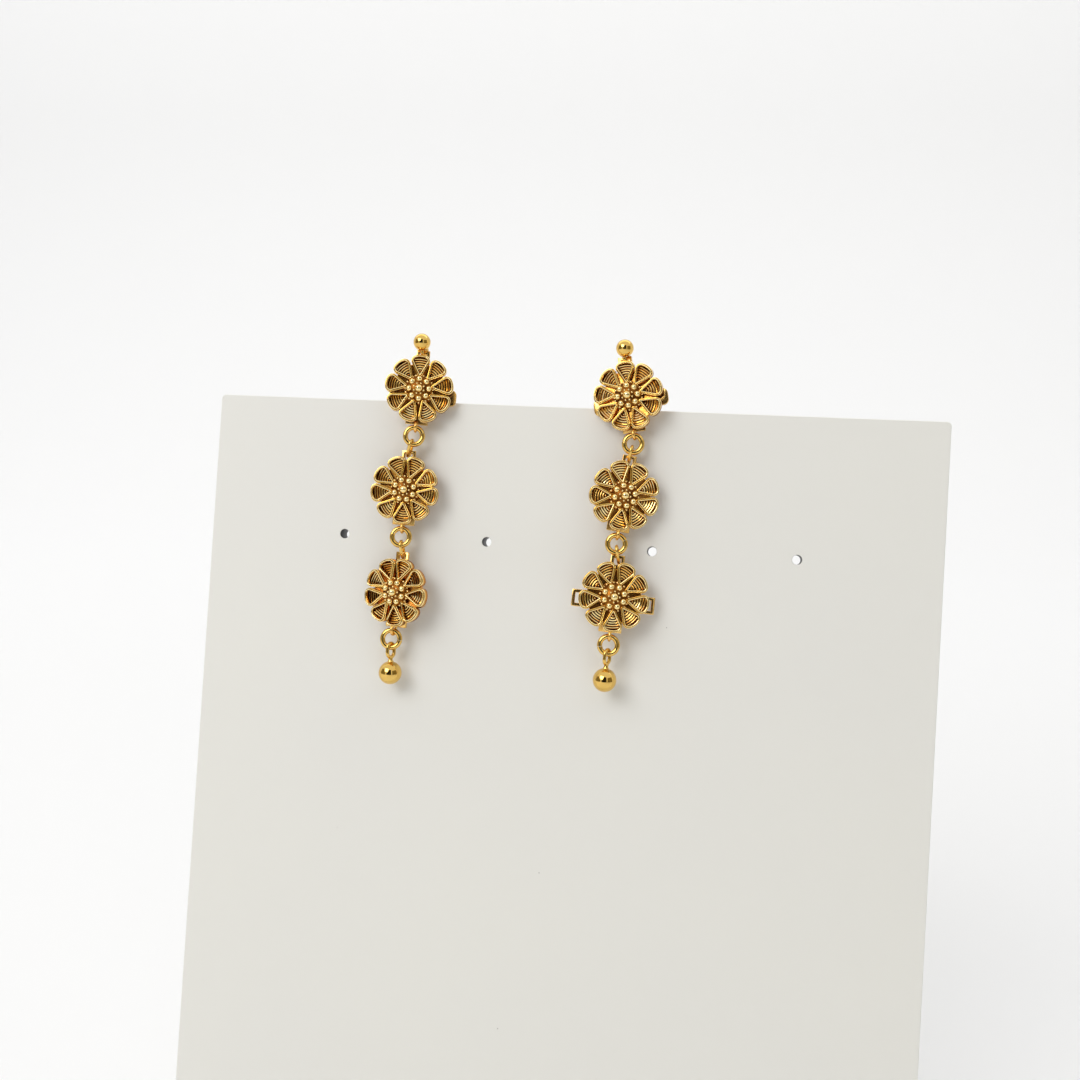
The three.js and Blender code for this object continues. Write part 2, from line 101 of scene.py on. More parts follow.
def place_piece(name, bm, material, matrix, smooth_degrees=40):
    """Turns the built mesh into a piece in the row frame, with sharp edges kept above an angle."""
    bmesh.ops.recalc_face_normals(bm, faces=bm.faces)
    bm.transform(matrix)
    mesh = bpy.data.meshes.new(name)
    bm.to_mesh(mesh)
    bm.free()
    mesh.polygons.foreach_set("use_smooth", [True] * len(mesh.polygons))
    mesh.set_sharp_from_angle(angle=math.radians(smooth_degrees))
    mesh.materials.append(material)
    piece = bpy.data.objects.new(name, mesh)
    bpy.context.scene.collection.objects.link(piece)
    return piece


# Sheet acrylic with a fine sandblasted face: it scatters light, shows no image, and has a slightly warm
# white with sparse dust specks and a very faint unevenness.
acrylic, tree = new_material("sandblasted white acrylic sheet")
place = add_node(tree, "ShaderNodeTexCoord", {}).outputs["Object"]
cloud = add_node(tree, "ShaderNodeTexNoise", {"Scale": 1 / 0.04, "Detail": 2.0}, {"Vector": place})
warm = add_node(
    tree,
    "ShaderNodeMix",
    {"data_type": "RGBA", 6: linear("EFEEE7"), 7: linear("EBEAE6")},
    {0: cloud.outputs["Fac"]},
)
# Specks about 0.15 mm across, some 7 mm apart
dust = add_node(
    tree,
    "ShaderNodeTexVoronoi",
    {"Scale": 1 / 0.007, "Randomness": 1.0},
    {"Vector": place},
)
speck = add_node(
    tree,
    "ShaderNodeMapRange",
    {"From Min": 0.016, "From Max": 0.009, "To Min": 0.0, "To Max": 0.55},
    {"Value": dust.outputs["Distance"]},
)
tone = add_node(
    tree,
    "ShaderNodeMix",
    {"data_type": "RGBA", 7: linear("8E8A84")},
    {0: speck.outputs["Result"], 6: warm.outputs[2]},
)
grit = add_node(tree, "ShaderNodeTexNoise", {"Scale": 1 / 0.0004, "Detail": 3.0}, {"Vector": place})
relief = add_node(
    tree,
    "ShaderNodeBump",
    {"Strength": 0.12, "Distance": 0.00003},
    {"Height": grit.outputs["Fac"]},
)
surface = add_node(
    tree,
    "ShaderNodeBsdfPrincipled",
    {"Roughness": 0.62, "IOR": 1.49},
    {"Base Color": tone.outputs[2], "Normal": relief.outputs["Normal"]},
)
add_node(tree, "ShaderNodeOutputMaterial", {}, {"Surface": surface.outputs["BSDF"]})


# Where the drill ran through the sheet, its wall is painted dark grey: painted shade for the shade deep inside the
# narrow holes
hole_wall_painted_shade, tree = new_material("drilled acrylic wall with painted shade")
place = add_node(tree, "ShaderNodeTexCoord", {}).outputs["Object"]
# Noise about 0.2 mm across, like drill marks, varies the painted shade
marks = add_node(tree, "ShaderNodeTexNoise", {"Scale": 1 / 0.0002, "Detail": 2.0}, {"Vector": place})
shade = add_node(
    tree,
    "ShaderNodeMix",
    {"data_type": "RGBA", 6: linear("0A0B0D"), 7: linear("2E2F34")},
    {0: marks.outputs["Fac"]},
)
surface = add_node(
    tree,
    "ShaderNodeBsdfPrincipled",
    {"Roughness": 0.45, "IOR": 1.49},
    {"Base Color": shade.outputs[2]},
)
add_node(tree, "ShaderNodeOutputMaterial", {}, {"Surface": surface.outputs["BSDF"]})


def bend_arc(radius, steps=20):
    """Points round the bend, from the foot's plane up to the panel's plane."""
    arc = []
    for i in range(steps + 1):
        angle = -math.pi / 2 - i / steps * (math.pi / 2 + LEAN)
        arc.append(bend_centre + Vector((0, math.cos(angle), math.sin(angle))) * radius)
    return arc


foot_end = FOOT_LENGTH / 2
profile = [Vector((0, foot_end, 0))]
profile += bend_arc(bend_outside)
profile += [top_edge, top_edge - face_out * SHEET]
profile += reversed(bend_arc(BEND_RADIUS))
profile += [Vector((0, foot_end, SHEET))]
bm = bmesh.new()
side = bm.faces.new([bm.verts.new(p - Vector((PANEL_WIDTH / 2, 0, 0))) for p in profile])
pulled = bmesh.ops.extrude_face_region(bm, geom=[side])["geom"]
far_side = [v for v in pulled if isinstance(v, bmesh.types.BMVert)]
bmesh.ops.translate(bm, verts=far_side, vec=(PANEL_WIDTH, 0, 0))
corner_edges = [
    e
    for e in bm.edges
    if all(((v.co - top_edge).dot(face_up)) > -0.01 for v in e.verts)
    and abs(e.verts[0].co.x - e.verts[1].co.x) < 0.01
]
bmesh.ops.bevel(
    bm, geom=corner_edges, offset=CORNER_RADIUS, offset_type="OFFSET", segments=6, profile=0.5, affect="EDGES"
)
bmesh.ops.recalc_face_normals(bm, faces=bm.faces)
sheet_mesh = bpy.data.meshes.new("bent sheet")
bm.to_mesh(sheet_mesh)
bm.free()
stand = bpy.data.objects.new("stand_sheet", sheet_mesh)
bpy.context.scene.collection.objects.link(stand)

bm = bmesh.new()
for share in HOLE_SHARES:
    drill = (
        Matrix.Scale(1 / MM, 4)
        @ panel
        @ Matrix.Translation((share * PANEL_WIDTH, -HOLE_DROP, -SHEET / 2))
    )
    bmesh.ops.create_cone(
        bm,
        cap_ends=True,
        segments=40,
        radius1=HOLE_DIAMETER / 2,
        radius2=HOLE_DIAMETER / 2,
        depth=2 * SHEET,
        matrix=drill,
    )
drill_mesh = bpy.data.meshes.new("drills")
bm.to_mesh(drill_mesh)
bm.free()
drills = bpy.data.objects.new("drills", drill_mesh)
bpy.context.scene.collection.objects.link(drills)
holes = stand.modifiers.new("drilled holes", "BOOLEAN")
holes.operation = "DIFFERENCE"
holes.solver = "EXACT"
holes.object = drills
rounding = stand.modifiers.new("broken edges", "BEVEL")
rounding.width = EDGE_ROUND
rounding.segments = 3
rounding.limit_method = "ANGLE"
rounding.angle_limit = math.radians(40)
drilled = bpy.data.meshes.new_from_object(stand.evaluated_get(bpy.context.evaluated_depsgraph_get()))
bpy.data.objects.remove(stand)
bpy.data.objects.remove(drills)
bm = bmesh.new()
bm.from_mesh(drilled)
stand = place_piece("stand_sheet", bm, acrylic, Matrix.Scale(MM, 4))
# Faces larger than this, in square metres, are the sheet's flat sides
FLAT_AREA = 0.0005
# Hole walls are made of faces smaller than this, and lie this close to the hole's radius
WALL_FACE_AREA = 1e-6
WALL_SLACK = 0.01
for face in stand.data.polygons:
    face.use_smooth = face.area < FLAT_AREA
stand.data.materials.append(hole_wall_painted_shade)
to_panel = panel.inverted()
for face in stand.data.polygons:
    centre = to_panel @ face.center
    for share in HOLE_SHARES:
        off = math.hypot(centre.x - share * PANEL_WIDTH, centre.y + HOLE_DROP)
        if off < HOLE_DIAMETER / 2 + WALL_SLACK and face.area < WALL_FACE_AREA:
            # Faces of the hole walls take the dark painted-shade material
            face.material_index = 1
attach(stand, "root")
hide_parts("display_stand")


# FLOWERS
# Three castings in each earring. A rosette of nine hollow petals with ribbed floors and a domed, beaded
# middle is soldered on a flat cross-shaped frame with rectangular eyes and a round lug at its foot.

PETALS = 9
FLOWER_RADIUS = 4.8
PETAL_GAP = 0.16
PETAL_TIP_ROUND = 0.3
PETAL_CORNER = 0.78
PETAL_END = 2.2
PETAL_TAPER = math.radians(28)
FRAME_THICK = 0.5
PETAL_BACK = 0.8
FLOOR = 1.2
half_pitch = math.pi / PETALS
end_centre = FLOWER_RADIUS - PETAL_END
corner_reach = PETAL_END - PETAL_CORNER
room_beside = end_centre * math.sin(half_pitch) - PETAL_CORNER - PETAL_GAP / 2
corner_angle = half_pitch + math.asin(room_beside / corner_reach)
corner_x = corner_reach * math.sin(corner_angle)
corner_y = end_centre + corner_reach * math.cos(corner_angle)

# Cast brass plated with gold and antiqued: dark brown tarnish stays in the hollows, and the raised wires
# and beads are rubbed bright. The vertex value read below says how deep in the hollows a point lies. It
# darkens the colour both for the real patina there and as painted shade, standing in for the shade that
# falls into the hollows, between the parts and round the feet of beads and ribs.
cast_gold, tree = new_material("antiqued gold-plated cast brass with painted shade")
place = add_node(tree, "ShaderNodeTexCoord", {}).outputs["Object"]
tarnish_and_shade = add_node(tree, "ShaderNodeAttribute", {"attribute_name": "tarnish_and_shade"}).outputs["Fac"]
# Patches of tarnish about 0.5 mm across
patches = add_node(tree, "ShaderNodeTexNoise", {"Scale": 1 / 0.0005, "Detail": 4.0}, {"Vector": place})
patchy = add_node(
    tree,
    "ShaderNodeMath",
    {"operation": "MULTIPLY_ADD", 1: 0.5, 2: -0.25},
    {0: patches.outputs["Fac"]},
)
depth = add_node(
    tree,
    "ShaderNodeMath",
    {"operation": "ADD", "use_clamp": True},
    {0: tarnish_and_shade, 1: patchy.outputs[0]},
)
# From bright rubbed gold to the dark brown of patina and painted shade
tone = add_node(tree, "ShaderNodeValToRGB", {}, {"Fac": depth.outputs[0]})
tone.color_ramp.elements[0].position = 0.02
tone.color_ramp.elements[0].color = linear("FFE8A8")
tone.color_ramp.elements[1].position = 0.95
tone.color_ramp.elements[1].color = linear("54290F")
middle_tone = tone.color_ramp.elements.new(0.5)
middle_tone.color = linear("DD953A")
rubbed_tone = tone.color_ramp.elements.new(0.25)
rubbed_tone.color = linear("F8CF7C")
dullness = add_node(
    tree,
    "ShaderNodeMapRange",
    {"From Min": 0.0, "From Max": 1.0, "To Min": 0.1, "To Max": 0.4},
    {"Value": depth.outputs[0]},
)
# Casting grain about 0.12 mm across
grain = add_node(tree, "ShaderNodeTexNoise", {"Scale": 1 / 0.00012, "Detail": 2.0}, {"Vector": place})
relief = add_node(
    tree,
    "ShaderNodeBump",
    {"Strength": 0.25, "Distance": 0.00002},
    {"Height": grain.outputs["Fac"]},
)
surface = add_node(
    tree,
    "ShaderNodeBsdfPrincipled",
    {"Metallic": 1.0},
    {
        "Base Color": tone.outputs["Color"],
        "Roughness": dullness.outputs["Result"],
        "Normal": relief.outputs["Normal"],
    },
)
add_node(tree, "ShaderNodeOutputMaterial", {}, {"Surface": surface.outputs["BSDF"]})


def loft(bm, rings, layer, tarnish_and_shade_values, closed_path=False):
    """Skin over rings of points. Ends get flat faces, or the last ring joins the first."""
    rows = []
    for ring, value in zip(rings, tarnish_and_shade_values):
        row = [bm.verts.new(p) for p in ring]
        for vert in row:
            vert[layer] = value
        rows.append(row)
    pairs = list(zip(rows, rows[1:])) + ([(rows[-1], rows[0])] if closed_path else [])
    count = len(rows[0])
    for low, high in pairs:
        for i in range(count):
            j = (i + 1) % count
            bm.faces.new((low[i], low[j], high[j], high[i]))
    if not closed_path:
        bm.faces.new(reversed(rows[0]))
        bm.faces.new(rows[-1])
    return [vert for row in rows for vert in row]


def turned_form(bm, profile, layer, tarnish_and_shade_values, sides, turn=Matrix.Identity(4)):
    """Round form from (radius, height) points about the z axis, closed by a point at each end."""
    verts = []
    rows = []
    for (radius, height), value in zip(profile, tarnish_and_shade_values):
        row = []
        for i in range(sides if radius > 1e-6 else 1):
            angle = 2 * math.pi * i / sides
            point = turn @ Vector((radius * math.cos(angle), radius * math.sin(angle), height))
            row.append(bm.verts.new(point))
            row[-1][layer] = value
        rows.append(row)
        verts += row
    for low, high in zip(rows, rows[1:]):
        for i in range(sides):
            j = (i + 1) % sides
            corners = [low[i % len(low)], low[j % len(low)], high[j % len(high)], high[i % len(high)]]
            bm.faces.new(list(dict.fromkeys(corners)))
    return verts


def bead_profile(radius, rows, low=0.0, high=0.0):
    """Points of a ball from its lowest to its highest point, with the value of patina and painted shade going from low
    to high.
    """
    points = []
    values = []
    for i in range(rows + 1):
        angle = math.pi * i / rows
        points.append((radius * math.sin(angle) if 0 < i < rows else 0.0, -radius * math.cos(angle)))
        values.append(low + (high - low) * (1 - math.cos(angle)) / 2)
    return points, values


def arc(x, y, radius, first, last, steps):
    """Points round a centre, with angles counted from +y towards +x."""
    angles = [first + (last - first) * i / steps for i in range(steps + 1)]
    return [(x + radius * math.sin(a), y + radius * math.cos(a)) for a in angles]


def petal_ring(inset, height):
    """Closed line parallel to a petal's outline, at a height, along +y from the flower's middle."""
    corner = PETAL_CORNER - inset
    tip = max(PETAL_TIP_ROUND - inset, 0.03)
    full = math.pi / 2 + PETAL_TAPER
    start = corner_y - corner_x / math.tan(PETAL_TAPER) - corner / math.sin(PETAL_TAPER)
    tip_y = start + tip / math.sin(PETAL_TAPER)
    side = arc(0, tip_y, tip, math.pi, full, 4)
    corner_arc = arc(corner_x, corner_y, corner, full, corner_angle, 10)
    side += [tuple(np.add(side[-1], np.subtract(corner_arc[0], side[-1]) * share)) for share in (0.2, 0.4, 0.6, 0.8)]
    side += corner_arc
    end = arc(0, end_centre, PETAL_END - inset, corner_angle, 0, 4)[1:]
    right_half = side + end
    left_half = [(-x, y) for x, y in reversed(right_half[1:-1])]
    return [Vector((x, y, height)) for x, y in right_half + left_half]


# Section of a petal's wall: in from the outline, height above the floor, and the value of patina and
# painted shade, dark low in the hollows and at the wall's foot. The rim is a pair of thin wires, the outer
# one a little lower.
WALL = (
    (0.1, -0.4, 1.0),
    (0.01, -0.34, 0.8),
    (0.0, 0.2, 0.5),
    (0.0, 0.44, 0.1),
    (0.03, 0.53, -0.2),
    (0.075, 0.56, -0.2),
    (0.12, 0.53, 0.0),
    (0.14, 0.44, 0.8),
    (0.155, 0.45, 0.8),
    (0.17, 0.62, 0.0),
    (0.2, 0.72, -0.2),
    (0.25, 0.76, -0.25),
    (0.3, 0.74, -0.25),
    (0.345, 0.66, -0.1),
    (0.365, 0.5, 0.3),
    (0.375, 0.25, 0.8),
    (0.4, 0.08, 1.0),
    (0.45, 0.03, 1.0),
    (0.52, 0.02, 1.0),
)
KEPT_TARNISH = (-0.2, 0.25)
RIB_TOP_TARNISH = 0.08
RIB_RUBBING_AND_SHADE = 1.3
FLOOR_EDGE = 0.42
RIB_PITCH = 0.33
RIB_WIDTH = 0.22
RIB_HEIGHT = 0.15
RIB_LIFT = 0.06


def floor_half_width(y):
    """Half the width of a petal's floor at a distance from the flower's middle."""
    corner = PETAL_CORNER - FLOOR_EDGE
    if y < corner_y - corner * math.sin(PETAL_TAPER):
        start = corner_y - corner_x / math.tan(PETAL_TAPER) - corner / math.sin(PETAL_TAPER)
        return (y - start) * math.tan(PETAL_TAPER)
    return corner_x + math.sqrt(max(corner**2 - (y - corner_y) ** 2, 0))


def add_petal(bm, layer, angle, chance):
    """One hollow petal with the cross ribs of its floor, at its angle on the flower."""
    turn = Matrix.Rotation(-angle, 4, "Z")
    rings = [[turn @ p for p in petal_ring(inset, FLOOR + height)] for inset, height, _ in WALL]
    # Each petal kept a little more or less tarnish when the casting was rubbed
    kept = chance.uniform(*KEPT_TARNISH)
    loft(bm, rings, layer, [value + kept * (value > 0.5) for _, _, value in WALL])
    y = FLOWER_RADIUS - FLOOR_EDGE - 0.28
    slant = chance.uniform(-0.2, 0.2)
    while floor_half_width(y) > 0.12:
        half = floor_half_width(y) + 0.02
        height = RIB_HEIGHT * chance.uniform(0.85, 1.1)
        ribs = []
        for x in (-half, -half / 2, 0, half / 2, half):
            bow = 0.1 * (1 - (x / half) ** 2)
            ribs.append([])
            for i in range(8):
                a = math.tau * i / 8
                across = y + RIB_WIDTH / 2 * math.cos(a) + slant * x + bow
                ribs[-1].append(turn @ Vector((x, across, FLOOR + RIB_LIFT + height * math.sin(a))))
        for vert in loft(bm, ribs, layer, [0.0] * 5):
            # Darker towards the rib's foot, for patina and as painted shade between the ribs; the rubbed top stays
            # bright
            vert[layer] = max(RIB_TOP_TARNISH, 1.0 - RIB_RUBBING_AND_SHADE * (vert.co.z - FLOOR) / (RIB_LIFT + height)) + kept
        y -= RIB_PITCH


DOME_RADIUS = 2.05
DOME_RISE = 1.1
dome_sphere = (DOME_RADIUS**2 + DOME_RISE**2) / (2 * DOME_RISE)
dome_centre = FLOOR + DOME_RISE - dome_sphere


def add_bead(bm, layer, diameter, radius, angle, sides, sink=0.0):
    """One grain or bead soldered on the dome."""
    x = radius * math.sin(angle)
    y = radius * math.cos(angle)
    height = dome_centre + math.sqrt(dome_sphere**2 - radius**2) - sink
    # The bead is dark at its foot on the dome, for patina and as painted shade, and bright on top
    points, values = bead_profile(diameter / 2, sides // 2, 0.85, -0.2)
    turned_form(bm, points, layer, values, sides, Matrix.Translation((x, y, height)))


def add_middle(bm, layer, turn):
    """Dome with a bead on top, a circle of eight beads, and fine grains between them and the petals."""
    cap = math.asin(DOME_RADIUS / dome_sphere)
    profile = [(0.0, PETAL_BACK), (DOME_RADIUS, PETAL_BACK)]
    for i in range(9):
        angle = cap * (1 - i / 8)
        profile.append((dome_sphere * math.sin(angle) if i < 8 else 0.0, dome_centre + dome_sphere * math.cos(angle)))
    # The dome between the beads is dark, for patina and as painted shade
    turned_form(bm, profile, layer, [0.85] * len(profile), 40)
    add_bead(bm, layer, 1.05, 0.0, 0.0, 24)
    for i in range(8):
        add_bead(bm, layer, 0.86, 1.36, turn + math.tau * i / 8, 20)
        add_bead(bm, layer, 0.3, 0.72, turn + math.tau * (i + 0.5) / 8, 10, 0.02)
    for i in range(24):
        add_bead(bm, layer, 0.4, 1.9, turn + math.tau * i / 24, 12, 0.06)


HUB_RADIUS = 3.7
TOP_ARM_HALF = 0.95
TOP_EYE_HALF = 0.5
SIDE_ARM_HALF = 1.15
SIDE_EYE_HALF = 0.7
EYE_REACH = 5.6
EYE_BAR = 0.45
EYE_DEPTH = 0.85
SIDE_DROP = 0.7
FOOT_HALF = 1.55
FOOT_REACH = 4.85
LUG_REACH = 5.25
LUG_HOLE = 0.84
LUG_WIRE = 0.42
LUG_STANDOFF = 0.9
FRAME_ROUND = 0.07
STUB_ROUND = 0.75


def in_frame(x, y, left, right):
    """True where the flat frame has metal, with the reach of its left and right arms."""
    outer = EYE_REACH - EYE_BAR
    inner = outer - EYE_DEPTH
    top_arm = abs(x) < TOP_ARM_HALF and 0 < y < EYE_REACH and not (abs(x) < TOP_EYE_HALF and inner < y < outer)
    whole = (left if x < 0 else right) == EYE_REACH
    side_eye = whole and abs(y + SIDE_DROP) < SIDE_EYE_HALF and inner < abs(x) < outer
    side_arm = abs(y + SIDE_DROP) < SIDE_ARM_HALF and -left < x < right and not side_eye
    foot_arm = abs(x) < FOOT_HALF and -FOOT_REACH < y <= 0
    return top_arm or side_arm or foot_arm


def add_frame(bm, layer, left, right):
    """Flat frame with broken edges, the hub that the petals sit on, and the lug."""
    outer = EYE_REACH - EYE_BAR
    inner = outer - EYE_DEPTH
    widths = (TOP_ARM_HALF, TOP_EYE_HALF, FOOT_HALF, inner, outer)
    xs = sorted({s * v for s in (-1, 1) for v in widths} | {-left, 0.0, right})
    drops = {-SIDE_DROP + s * v for s in (-1, 1) for v in (SIDE_ARM_HALF, SIDE_EYE_HALF)}
    ys = sorted({-FOOT_REACH, 0.0, inner, outer, EYE_REACH} | drops)
    plate = bmesh.new()
    corner = {}
    for x0, x1 in zip(xs, xs[1:]):
        for y0, y1 in zip(ys, ys[1:]):
            if in_frame((x0 + x1) / 2, (y0 + y1) / 2, left, right):
                corners = []
                for x, y in ((x0, y0), (x1, y0), (x1, y1), (x0, y1)):
                    if (x, y) not in corner:
                        corner[x, y] = plate.verts.new((x, y, 0))
                    corners.append(corner[x, y])
                plate.faces.new(corners)
    lifted = bmesh.ops.extrude_face_region(plate, geom=plate.faces[:])["geom"]
    top = [v for v in lifted if isinstance(v, bmesh.types.BMVert)]
    bmesh.ops.translate(plate, verts=top, vec=(0, 0, FRAME_THICK))
    bmesh.ops.recalc_face_normals(plate, faces=plate.faces)
    bmesh.ops.dissolve_limit(plate, angle_limit=0.01, verts=plate.verts, edges=plate.edges)
    stub_ends = [reach for reach in (-left, right) if abs(reach) < EYE_REACH]
    stub_corners = [
        e
        for e in plate.edges
        if all(any(abs(v.co.x - end) < 0.01 for end in stub_ends) for v in e.verts)
        and abs(e.verts[0].co.z - e.verts[1].co.z) > 0.1
    ]
    bmesh.ops.bevel(plate, geom=stub_corners, offset=STUB_ROUND, segments=6, profile=0.5, affect="EDGES")
    edges = [e for e in plate.edges if len(e.link_faces) == 2 and e.calc_face_angle(0) > 1]
    bmesh.ops.bevel(plate, geom=edges, offset=FRAME_ROUND, segments=2, profile=0.5, affect="EDGES")
    bmesh.ops.triangulate(plate, faces=[f for f in plate.faces if len(f.verts) > 4])
    copied = {v: bm.verts.new(v.co) for v in plate.verts}
    # The frame and the hub behind the petals take a middling value of patina and painted shade
    for vert in copied.values():
        vert[layer] = 0.32
    for face in plate.faces:
        bm.faces.new([copied[v] for v in face.verts])
    plate.free()
    hub = [(0.0, 0.2), (HUB_RADIUS, 0.2), (HUB_RADIUS, 0.72), (HUB_RADIUS - 0.08, PETAL_BACK), (0.0, PETAL_BACK)]
    turned_form(bm, hub, layer, [0.45] * 5, 48)
    add_loop(bm, layer, (LUG_HOLE + LUG_WIRE) / 2, 0.0, LUG_WIRE / 2, Vector((0, -LUG_REACH, LUG_STANDOFF)), 0.3)


def add_loop(bm, layer, radius, stretch, wire, centre, value, steps=36, sides=14):
    """Closed wire loop in the upright plane across the piece, drawn out along y by the stretch."""
    rings = []
    for i in range(steps):
        angle = math.tau * (i + 0.5) / steps
        across = Vector((0, math.cos(angle), math.sin(angle)))
        middle = centre + across * radius + Vector((0, math.copysign(stretch, across.y), 0))
        ring = []
        for k in range(sides):
            a = math.tau * k / sides
            ring.append(middle + across * (wire * math.cos(a)) + Vector((wire * math.sin(a), 0, 0)))
        rings.append(ring)
    loft(bm, rings, layer, [value] * steps, closed_path=True)


def panel_points(name):
    """Points of a CAD node in the panel's millimetres."""
    points = np.array([v.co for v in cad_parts[name].data.vertices])
    back = np.array(panel.inverted())
    return points @ back[:3, :3].T + back[:3, 3]


def box_in(points, rotation):
    """Lowest and highest corner of points in a turned frame."""
    turned = points @ np.array(rotation)
    return Vector(turned.min(0)), Vector(turned.max(0))


# Turn in the panel's plane, turn to face right, and turn of the rosette on its frame, in degrees, and the
# share of the left and right arm that is left on the casting
FLOWER_TURNS = {
    "left_flower_1": (2, 11, -3, 0.75, 0.93),
    "left_flower_2": (1, 5, -20, 0.75, 0.75),
    "left_flower_3": (2, -13, -25, 0.75, 0.75),
    "right_flower_1": (-11, -8, 2, 0.92, 0.93),
    "right_flower_2": (6, 12, -18, 0.75, 0.75),
    "right_flower_3": (3, 8, -22, 1.0, 1.0),
}
flower_places = {}
for number, (name, (roll, yaw, petals, left, right)) in enumerate(FLOWER_TURNS.items()):
    rotation = Matrix.Rotation(math.radians(yaw), 3, "Y") @ Matrix.Rotation(-math.radians(roll), 3, "Z")
    points = panel_points(name)
    low, high = box_in(points, rotation)
    top_bar = points[(points @ np.array(rotation))[:, 1] > high.y - 0.05]
    bar_low, bar_high = box_in(top_bar, rotation)
    origin = rotation @ Vector(((bar_low.x + bar_high.x) / 2, high.y - EYE_REACH, low.z))
    flower_places[name] = Matrix.Translation(origin) @ rotation.to_4x4()
    chance = random.Random(number)
    bm = bmesh.new()
    layer = bm.verts.layers.float.new("tarnish_and_shade")
    turn = math.radians(petals)
    for i in range(PETALS):
        add_petal(bm, layer, turn + math.tau * i / PETALS + chance.uniform(-0.02, 0.02), chance)
    add_middle(bm, layer, turn)
    add_frame(bm, layer, left * EYE_REACH, right * EYE_REACH)
    flower = place_piece(name + "_casting", bm, cast_gold, panel @ flower_places[name])
    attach(flower, "root")
    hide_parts(name)


# JUMP RINGS
# Round rings of 0.7 mm wire, cut from a coil and closed with pliers, so that each has a fine seam. One
# hangs in the lug of each flower and carries the next link or the end ball.

RING_DIAMETER = 3.1
RING_WIRE = 0.72
SEAM = 0.05

# Brass wire and balls, polished and plated with gold: a clear, warm mirror. Its few hairline marks are not drawn.
polished_gold, tree = new_material("polished gold-plated brass")
place = add_node(tree, "ShaderNodeTexCoord", {}).outputs["Object"]
# Soft changes of the plating's tone, about 1 mm across
drift = add_node(tree, "ShaderNodeTexNoise", {"Scale": 1 / 0.001, "Detail": 3.0}, {"Vector": place})
tone = add_node(
    tree,
    "ShaderNodeMix",
    {"data_type": "RGBA", 6: linear("E2B458"), 7: linear("F0CC78")},
    {0: drift.outputs["Fac"]},
)
wear = add_node(
    tree,
    "ShaderNodeMapRange",
    {"To Min": 0.04, "To Max": 0.1},
    {"Value": drift.outputs["Fac"]},
)
surface = add_node(
    tree,
    "ShaderNodeBsdfPrincipled",
    {"Metallic": 1.0},
    {"Base Color": tone.outputs[2], "Roughness": wear.outputs["Result"]},
)
add_node(tree, "ShaderNodeOutputMaterial", {}, {"Surface": surface.outputs["BSDF"]})

# Angle of each ring about the panel's up direction, and of its seam from the top, in degrees
RING_TURNS = {
    "left_ring_1": (10, 70),
    "left_ring_2": (12, -60),
    "left_ring_3": (8, 95),
    "right_ring_1": (4, -80),
    "right_ring_2": (2, 65),
    "right_ring_3": (6, -100),
}
for name, (yaw, seam) in RING_TURNS.items():
    rotation = Matrix.Rotation(math.radians(yaw), 3, "Y")
    low, high = box_in(panel_points(name), rotation)
    centre = rotation @ ((low + high) / 2)
    radius = (RING_DIAMETER - RING_WIRE) / 2
    gap = SEAM / radius
    rings = []
    for i in range(61):
        angle = math.radians(seam) + gap / 2 + (math.tau - gap) * i / 60
        across = Vector((math.sin(angle), math.cos(angle), 0))
        ring = []
        for k in range(18):
            a = math.tau * k / 18
            ring.append(across * (radius + RING_WIRE / 2 * math.cos(a)) + Vector((0, 0, RING_WIRE / 2 * math.sin(a))))
        rings.append(ring)
    bm = bmesh.new()
    layer = bm.verts.layers.float.new("tarnish_and_shade")
    loft(bm, rings, layer, [0.0] * len(rings))
    ring_piece = place_piece(name + "_wire", bm, polished_gold, panel @ Matrix.Translation(centre) @ rotation.to_4x4())
    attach(ring_piece, "root")
    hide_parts(name)


# OVAL LINKS
# Closed loops of 0.42 mm wire, soldered shut and pressed oval. Each joins a jump ring to the top eye of
# the next flower, and is seen edge-on.

LINK_LENGTH = 2.0
LINK_WIDTH = 0.85
LINK_WIRE = 0.42
for name in ("left_link_1", "left_link_2", "right_link_1", "right_link_2"):
    points = panel_points(name)
    spread, directions = np.linalg.eigh(np.cov((points - points.mean(0)).T))
    along = Vector(directions[:, 2])
    along *= math.copysign(1, along.y)
    side = Vector(directions[:, 0])
    side = (side - along * side.dot(along)).normalized()
    rotation = Matrix((side, along, side.cross(along))).transposed()
    low, high = box_in(points, rotation)
    place = Matrix.Translation(rotation @ ((low + high) / 2)) @ rotation.to_4x4()
    bm = bmesh.new()
    layer = bm.verts.layers.float.new("tarnish_and_shade")
    stretch = (LINK_LENGTH - LINK_WIDTH) / 2
    add_loop(bm, layer, (LINK_WIDTH + LINK_WIRE) / 2, stretch, LINK_WIRE / 2, Vector(), 0.0, 48, 16)
    link = place_piece(name + "_wire", bm, polished_gold, panel @ place)
    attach(link, "root")
    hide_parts(name)


# END BALLS
# A polished 3.2 mm ball with a short neck and a narrow oval loop, soldered as one piece. It hangs in the
# last jump ring.

